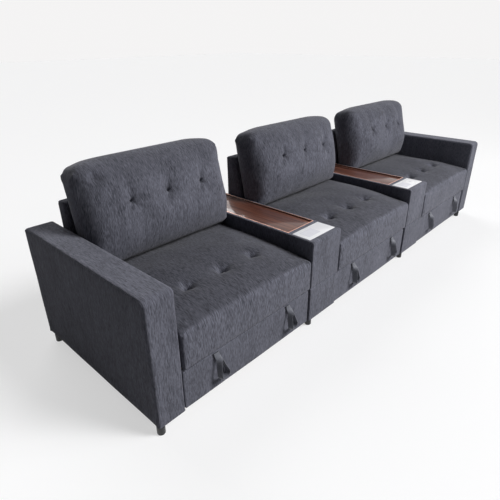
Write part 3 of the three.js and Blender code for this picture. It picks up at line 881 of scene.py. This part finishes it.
def makeBackFrame(name, seed):
    node = name + "_back_frame"
    low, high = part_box(node)
    seam = backs["seam"]
    front = high.y - backs["topThickness"]
    lowEdges = (backs["side"], backs["edge"], backs["heel"])
    highEdges = (backs["side"], backs["edge"], backs["edge"])
    bm = softBlock((low.x, front, low.z), high, lowEdges, highEdges, 1, seed, backs["cell"])
    # Draws the front out along the rake, from the frame's top down to the seat
    for v in bm.verts:
        share = (high.y - v.co.y) / backs["topThickness"]
        lean = rakeFront(high, v.co.z) if v.co.z > seam else high.y - backs["panelThickness"]
        v.co.y = high.y - share * (high.y - lean)
    piece = addPiece(bm, node + "_cover", [fabric], "root", [node], 0, backs["sharp"])


for i, name in enumerate(seats):
    makeBackFrame(name, seeds["backFrame"] + i)
print("back frames made")


# Cushions
def crownAt(t, half, flat=0.42):
    # 1 over the flat share of the half width, falling to 0 at its end
    beyond = max(0, abs(t) / half - flat) / (1 - flat)
    return max(0, 1 - beyond * beyond)


def farHalf(t, low, high):
    # 0 up to the middle, then up to 1 at high
    return max(0, 2 * (t - low) / (high - low) - 1)


def dimple(distance, spread):
    return math.exp(-((distance / spread) ** 2))


# A sewn tuft: a deep narrow pit, a wider soft hollow and a few folds that run out from it
tuftFolds = {
    "hollowShare": 0.5,  # of the tuft's depth, with the rest in the pit
    "limit": 2.5,  # times the folds' reach, past which nothing is left of them
    "first": 5,
    "second": 3,  # a second, weaker set of folds makes the first uneven
    "secondShare": 0.6,
    "secondTurn": 2.1,
}


def tuftHollow(away, setup):
    return setup["depth"] * tuftFolds["hollowShare"] * dimple(away, setup["hollow"])


def tuftDepth(across, along, setup, seed):
    away = math.hypot(across, along)
    if away > setup["foldReach"] * tuftFolds["limit"]:
        return 0
    turn = math.atan2(along, across)
    second = math.cos(tuftFolds["second"] * turn + tuftFolds["secondTurn"] * seed)
    waves = math.cos(tuftFolds["first"] * turn + seed) + tuftFolds["secondShare"] * second
    pit = dimple(away, setup["pit"])
    fold = setup["foldDepth"] * waves * (1 - pit) * dimple(away, setup["foldReach"])
    return setup["depth"] * (1 - tuftFolds["hollowShare"]) * pit + fold


# Covers are blown up as cloth in the simulator, held at the tufts and where they rest
puff = {
    "frames": 20,
    "quality": 5,
    "mass": 0.3,
    "pressure": 4,
    "tension": 18,
    "bending": 0.6,
    "cap": 0.024,  # the furthest that a point of the cover may move
    "tuftHold": 0.02,
}


def baked(bm, dress, frames=1):
    # The same mesh with the modifiers that dress gives it, after so many frames
    mesh = bpy.data.meshes.new("coverWork")
    bm.to_mesh(mesh)
    cover = addObject("coverWork", mesh)
    dress(cover)
    for frameNumber in range(1, frames + 1):
        bpy.context.scene.frame_set(frameNumber)
    graph = bpy.context.evaluated_depsgraph_get()
    graph.update()
    result = bmesh.new()
    result.from_object(cover, graph)
    bpy.data.objects.remove(cover)
    bpy.data.meshes.remove(mesh)
    bpy.context.scene.frame_set(1)
    return result


def inflate(bm, held):
    def dress(cover):
        group = cover.vertex_groups.new(name="held")
        for i, weight in enumerate(held):
            group.add([i], weight, "REPLACE")
        cloth = cover.modifiers.new("puff", "CLOTH")
        cloth.settings.quality = puff["quality"]
        cloth.settings.mass = puff["mass"]
        cloth.settings.tension_stiffness = puff["tension"]
        cloth.settings.compression_stiffness = puff["tension"]
        cloth.settings.bending_stiffness = puff["bending"]
        cloth.settings.use_pressure = True
        cloth.settings.uniform_pressure_force = puff["pressure"]
        cloth.settings.vertex_group_mass = "held"
        cloth.settings.effector_weights.gravity = 0
        cloth.point_cache.frame_end = puff["frames"]

    blown = baked(bm, dress, puff["frames"])
    for v, after in zip(bm.verts, blown.verts):
        move = after.co - v.co
        if move.length > puff["cap"]:
            move.length = puff["cap"]
        v.co += move
    blown.free()


def refined(bm):
    def dress(cover):
        smoothing = cover.modifiers.new("smoothing", "SUBSURF")
        smoothing.levels = smoothing.render_levels = 1

    result = baked(bm, dress)
    bm.free()
    return result


seatCushion = {
    "crown": 0.035,
    "crownForward": 0.08,  # its middle lies before the seat's middle
    "crownShort": 0.06,  # and it ends before the edges
    "startShare": 0.7,  # of the crown, before the cover is blown up
    "frontFall": 0.02,
    "bulge": 0.0025,
    "sideEdge": 0.011,
    "frontEdge": 0.024,
    "rearEdge": 0.02,
    "topEdge": 0.024,
    "heelEdge": 0.008,
    "edgeHold": 0.5,  # the sewn front and side edges give a little
    "footBow": 0.1,  # below this share of the bow the sides are held
    "fit": 0.0008,
    "rearGap": 0.002,
    "tuftRow": 0.212,
    "tuftPitch": 0.2,
    "cell": 0.0125,
    "tuft": {"depth": 0.07, "pit": 0.0105, "hollow": 0.03, "foldDepth": 0.003, "foldReach": 0.05},
    "swell": 0.005,
    "swellSize": 0.16,
    # How much higher the right-hand edge lies, at the front and at the rear, on each seat
    "rightRise": {"left": (-0.012, -0.004), "centre": (0.0, 0.022), "right": (0.002, 0.008)},
}


def shapeSeatCushion(name, seed):
    s = seatCushion
    low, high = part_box(name + "_seat_cushion")
    middle = (low.x + high.x) / 2
    half = (high.x - low.x) / 2 - s["fit"]
    front = low.y + s["bulge"]
    foot = low.z + s["fit"]
    rest = high.z - s["crown"]
    rear = rakeFront(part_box(name + "_back_frame")[1], foot) - s["rearGap"]
    depth = rear - front
    lows, highs = [middle - half, front, foot], [middle + half, rear, rest]
    lowEdges = (s["sideEdge"], s["frontEdge"], s["heelEdge"])
    highEdges = (s["sideEdge"], s["rearEdge"], s["topEdge"])
    bm = roundedGrid(lows, highs, lowEdges, highEdges, s["cell"])[0]
    tufts = [(middle + k * s["tuftPitch"], front + s["tuftRow"]) for k in (-1, 0, 1)]
    share = s["startShare"]
    held = []
    for v in bm.verts:
        p = v.co
        x = p.x - middle
        upper = farHalf(p.z, foot, rest)
        forward = farHalf(-p.y, -rear, -front)
        across = crownAt(x, half)
        toTuft = min(math.hypot(p.x - a, p.y - b) for a, b in tufts)
        p.y += farHalf(p.y, front, rear) * (p.z - foot) * math.tan(backs["rake"])
        along = crownAt(p.y - front - depth / 2 + s["crownForward"], depth / 2 - s["crownShort"])
        bow = math.sin(math.pi * (p.z - foot) / (rest - foot))
        p.y -= s["bulge"] * share * forward * bow * across
        back = (p.y - front) / depth
        frontRise, rearRise = s["rightRise"][name]
        rise = (frontRise + (rearRise - frontRise) * back) * max(0, x / half) ** 2
        fall = s["frontFall"] * max(0, 1 - 2 * back) ** 2
        hollow = tuftHollow(toTuft, s["tuft"])
        p.z += upper * (s["crown"] * share * across * along + rise - fall - hollow)
        sewn = upper > 0 and toTuft < puff["tuftHold"]
        firm = upper == 0 and bow < s["footBow"] or p.y > rear or sewn
        frontSeam = p.y < front + s["frontEdge"] and p.z > rest - s["topEdge"]
        onEdge = abs(x) > half - s["sideEdge"] or frontSeam
        held.append(1 if firm else s["edgeHold"] * onEdge)
    inflate(bm, held)
    bm = refined(bm)
    for v in bm.verts:
        p = v.co
        upper = farHalf(p.z, foot, rest)
        pits = sum(tuftDepth(p.x - a, p.y - b, s["tuft"], seed + a) for a, b in tufts)
        p.z += upper * (swell(p, s["swellSize"], s["swell"], seed) - pits)
        p.x = min(max(p.x, middle - half), middle + half)
        p.y = max(p.y, front - s["bulge"])
        p.z = max(p.z, foot)
    return bm


def makeSeatCushion(name, seed):
    node = name + "_seat_cushion"
    bm = shapeSeatCushion(name, seed)
    tree = BVHTree.FromBMesh(bm)
    piece = addPiece(bm, node + "_cover", [seatFabric], "root", [node], 0)
    return tree


backCushion = {
    "thickness": 0.18,
    "crown": 0.082,
    "startShare": 0.8,  # of the crown, before the cover is blown up
    "fit": 0.001,
    "sideEdge": 0.045,
    "frontEdge": 0.07,
    "rearEdge": 0.042,
    "topEdge": 0.066,
    "footEdge": 0.024,
    "press": 0.004,  # how far the foot reaches down into the seat, before it is laid on it
    "footHold": 0.03,
    "rearHold": 0.004,
    "tuck": 0.04,
    "tuckHeight": 0.17,
    "tuftRise": 0.262,
    "tuftPitch": 0.2,
    "topFall": 0.02,  # at the upper corners
    "topFallSharp": 6,
    "topRoom": 0.004,
    "sideRoom": 0.004,  # how far the sides may swell beside the arm or the console
    "sideSwell": 0.013,  # and above them
    "openFrom": 0.19,
    "openTo": 0.24,
    "cell": 0.0125,
    "tuft": {"depth": 0.036, "pit": 0.009, "hollow": 0.036, "foldDepth": 0.0028, "foldReach": 0.06},
    "pullWidth": 0.03,  # the soft valley that runs up from each tuft
    "pullDepth": 0.006,
    "pullStart": 0.05,
    "pullReach": 0.28,
    "pullLean": 0.2,  # sideways to its rise, away from the middle
    "swell": 0.006,
    "swellSize": 0.15,
    "rest": 0.429,
    "lift": {"left": 0.016, "centre": 0.0, "right": 0.0},
    "pinch": {"left": 0.02, "centre": 0.006, "right": 0.003},  # at the cover's upper left corner
    "pinchIn": 0.075,
    "pinchSize": 0.022,
    "seatGap": 0.002,
    "dropFrom": 2,  # height that the seat's top is sought from
}


def shapeBackCushion(name, seed, seatTree):
    s = backCushion
    low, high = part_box(name + "_back_cushion")
    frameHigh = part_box(name + "_back_frame")[1]
    middle = (low.x + high.x) / 2
    half = (high.x - low.x) / 2 - s["fit"]
    foot = -s["press"]
    rise = high.z - s["rest"] - s["thickness"] / 2 * math.sin(backs["rake"]) + s["lift"][name]
    top = rise / math.cos(backs["rake"])
    lows, highs = [-half, -s["thickness"], foot], [half, -s["fit"], top]
    lowEdges = (s["sideEdge"], s["frontEdge"], s["footEdge"])
    highEdges = (s["sideEdge"], s["rearEdge"], s["topEdge"])
    bm = roundedGrid(lows, highs, lowEdges, highEdges, s["cell"])[0]
    tufts = [(k * s["tuftPitch"], s["tuftRise"]) for k in (-1, 0, 1)]
    share = s["startShare"]
    held = []
    for v in bm.verts:
        p = v.co
        forward = farHalf(-p.y, 0, s["thickness"])
        across = crownAt(p.x, half)
        along = math.sin(math.pi * (p.z - foot) / (top - foot))
        tuck = s["tuck"] * max(0, 1 - (p.z - foot) / s["tuckHeight"]) ** 2
        toTuft = min(math.hypot(p.x - a, p.z - b) for a, b in tufts)
        hollow = tuftHollow(toTuft, s["tuft"])
        sewn = forward > 0 and toTuft < puff["tuftHold"]
        held.append(float(p.y > -s["rearHold"] or p.z < s["footHold"] or sewn))
        p.y -= forward * (s["crown"] * share * across * along - tuck - hollow)
        p.z -= s["topFall"] * farHalf(p.z, foot, top) * abs(p.x / half) ** s["topFallSharp"]
    inflate(bm, held)
    bm = refined(bm)
    corner = (s["pinchIn"] - half, top - s["pinchIn"])
    for v in bm.verts:
        p = v.co
        forward = farHalf(-p.y, 0, s["thickness"])
        pits = sum(tuftDepth(p.x - a, p.z - b, s["tuft"], seed + a) for a, b in tufts)
        for a, b in tufts:
            above = max(0, p.z - b)
            fade = min(1, above / s["pullStart"]) * max(0, 1 - above / s["pullReach"])
            valley = p.x - a - s["pullLean"] * above * math.copysign(1, a)
            pits += s["pullDepth"] * fade * dimple(valley, s["pullWidth"])
        pits += s["pinch"][name] * dimple(math.hypot(p.x - corner[0], p.z - corner[1]), s["pinchSize"])
        p.y += forward * (pits - swell(p, s["swellSize"], s["swell"], seed))
        room = min(max((p.z - s["openFrom"]) / (s["openTo"] - s["openFrom"]), 0), 1)
        reach = half + s["sideRoom"] + (s["sideSwell"] - s["sideRoom"]) * room
        p.x = min(max(p.x, -reach), reach)
        p.y = min(p.y, -s["fit"])
        p.z = min(p.z, top + s["topRoom"])
    bmesh.ops.rotate(bm, matrix=Matrix.Rotation(-backs["rake"], 3, "X"), verts=bm.verts)
    place = Vector((middle, rakeFront(frameHigh, s["rest"]) - s["fit"], s["rest"]))
    bmesh.ops.translate(bm, vec=place, verts=bm.verts)
    # Lays the foot on the seat cushion's top wherever it would sink into it
    for v in bm.verts:
        hit = seatTree.ray_cast(Vector((v.co.x, v.co.y, s["dropFrom"])), Vector((0, 0, -1)))[0]
        if hit and v.co.z < hit.z + s["seatGap"]:
            v.co.z = hit.z + s["seatGap"]
    return bm


for i, name in enumerate(seats):
    seatTree = makeSeatCushion(name, seeds["seat"] + i)
    bm = shapeBackCushion(name, seeds["back"] + i, seatTree)
    node = name + "_back_cushion"
    piece = addPiece(bm, node + "_cover", [backFabric], node, [node], 0)
    print("cushions made:", name)

# Pull-out units
panels = {
    "side": 0.006,
    "edge": 0.006,
    "spread": 0.0032,  # each side reaches out to its neighbour by this
    "drop": 0.006,  # the top stays below the seat cushion's foot by this
}
pads = {"side": 0.014, "edge": 0.02}


def makePullOut(name, seed):
    body = name + "_pull_out"
    node = name + "_pull_out_panel"
    low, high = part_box(node)
    edges = (panels["side"], panels["edge"], panels["edge"])
    low.x -= panels["spread"]
    high.x += panels["spread"]
    high.z -= panels["drop"]
    bm = softBlock(low, high, edges, edges, 1, seed)
    piece = addPiece(bm, node + "_cover", [fabric], body, [node], 1)
    node = name + "_pull_out_pad"
    low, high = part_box(node)
    edges = (pads["side"], pads["edge"], pads["edge"])
    bm = softBlock(low, high, edges, edges, 2, seed + seeds["padStep"])
    piece = addPiece(bm, node + "_cover", [ticking], body, [node], 1)


# Pull straps: a webbing band sewn at both ends, its loop turned sideways to the panel as it hangs
straps = {
    "width": 0.027,
    "thickness": 0.0022,
    "drop": 0.138,
    "loop": 0.054,
    "turn": math.radians(-75),
    "turnShare": 0.45,  # of the drop, as the two below
    "tabShare": 0.14,
    "wideShare": 0.78,
    "swing": 0.028,
    "clearance": 0.0003,
    "steps": 72,
    "columns": 6,
    "edge": 0.0007,
    "sharp": 40,  # degrees
}


def smoothShare(t, end):
    t = min(max(t / end, 0), 1)
    return t * t * (3 - 2 * t)


def loopHalf(drop):
    free = max(0, drop - straps["tabShare"]) / (1 - straps["tabShare"])
    belly = max(0, free - straps["wideShare"]) / (1 - straps["wideShare"])
    return straps["loop"] / 2 * min(1, free / straps["wideShare"]) * math.sqrt(max(0, 1 - belly**2))


def strapLine(i):
    # Where the middle of the band is after i steps: how far from the loop's middle, and how far down
    drop = (1 - math.cos(2 * math.pi * i / straps["steps"])) / 2
    side = -1 if i * 2 < straps["steps"] else 1
    legs = 0 if i * 2 == straps["steps"] else (straps["thickness"] + straps["clearance"]) / 2
    return Vector((side * (legs + loopHalf(drop)), drop))


def makeStrap(node, panel, body):
    s = straps
    low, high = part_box(node)
    sewn = Vector((low.x + s["width"] / 2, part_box(panel)[0].y, high.z))
    half, edge, thick = s["width"] / 2, s["edge"], s["thickness"] / 2
    # The band's cross section: columns across its flat sides, and its rounded edges
    columns = [-half + edge + (2 * half - 2 * edge) * k / s["columns"] for k in range(s["columns"] + 1)]
    section = [(x, -thick) for x in columns] + [(half, -thick + edge), (half, thick - edge)]
    section += [(x, thick) for x in reversed(columns)] + [(-half, thick - edge), (-half, -thick + edge)]
    bm = bmesh.new()
    weave = bm.loops.layers.uv.new("weave")
    rings = []
    along = 0
    runs = []
    for i in range(s["steps"] + 1):
        away, drop = strapLine(i)
        before, after = strapLine(max(0, i - 1)), strapLine(min(s["steps"], i + 1))
        run = Vector((after.x - before.x, (after.y - before.y) * s["drop"])).normalized()
        flat = Vector((run.y, -run.x))
        swung = s["turn"] * smoothShare(drop, s["turnShare"])
        clear = s["thickness"] + s["clearance"] / 2 + loopHalf(drop)
        middle = s["clearance"] + clear * math.cos(swung) + half * abs(math.sin(swung))
        ring = []
        for x, through in section:
            out = away + through * flat.x
            place = Vector(
                (
                    x * math.cos(swung) + out * math.sin(swung) + s["swing"] * drop,
                    -(middle + out * math.cos(swung) - x * math.sin(swung)),
                    -(drop * s["drop"] + through * flat.y),
                )
            )
            ring.append(bm.verts.new(sewn + place))
        if rings:
            along += (ring[0].co - rings[-1][0].co).length
        rings.append(ring)
        runs.append(along)
    count = len(section)
    for i in range(s["steps"]):
        for k in range(count):
            n = (k + 1) % count
            face = bm.faces.new((rings[i][k], rings[i][n], rings[i + 1][n], rings[i + 1][k]))
            for loop, (step, column) in zip(face.loops, ((i, k), (i, n), (i + 1, n), (i + 1, k))):
                loop[weave].uv = (section[column][0], runs[step])
    bm.faces.new(list(reversed(rings[0])))
    bm.faces.new(rings[-1])
    bmesh.ops.recalc_face_normals(bm, faces=bm.faces)
    addPiece(bm, node + "_band", [strapWebbing], body, [node], 0, s["sharp"])


def dressNode(node, material):
    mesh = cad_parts[node].data
    mesh.materials.clear()
    mesh.materials.append(material)


insides = {
    "_seat_frame": pine,
    "_seat_deck": plywood,
    "_pull_out_frame": pine,
    "_wheel_1": blackPlastic,
    "_wheel_2": blackPlastic,
}
for i, name in enumerate(seats):
    makePullOut(name, seeds["pullOut"] + i)
    for end in ("_1", "_2"):
        makeStrap(name + "_pull_strap" + end, name + "_pull_out_panel", name + "_pull_out")
    for ending, material in insides.items():
        dressNode(name + ending, material)
for name in consoles:
    for ending in ("_console_hinge_fixed_leaf", "_console_hinge_lid_leaf"):
        dressNode(name + ending, steel)
print("pull-outs made")

# Feet: turned black plastic cups with a rounded rim
feet = {"chamfer": 0.0045, "turns": 4, "sides": 40, "rimBelow": 0.001}


def makeFoot(node):
    low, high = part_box(node)
    middle = (low + high) / 2
    radius = (high.x - low.x) / 2
    height = high.z - low.z
    bm = bmesh.new()
    bmesh.ops.create_cone(
        bm, cap_ends=True, segments=feet["sides"], radius1=radius, radius2=radius, depth=height
    )
    bmesh.ops.translate(bm, vec=middle, verts=bm.verts)
    rim = [e for e in bm.edges if all(v.co.z < low.z + feet["rimBelow"] for v in e.verts)]
    bevelEdges(bm, rim, feet["chamfer"], feet["turns"])
    addPiece(bm, node + "_cup", [blackPlastic], "root", [node], 0, hardEdge)


for unit in ("left_arm", "left_console", "right_console", "right_arm"):
    for end in ("front", "rear"):
        makeFoot(f"{unit}_{end}_foot")
print("feet made")
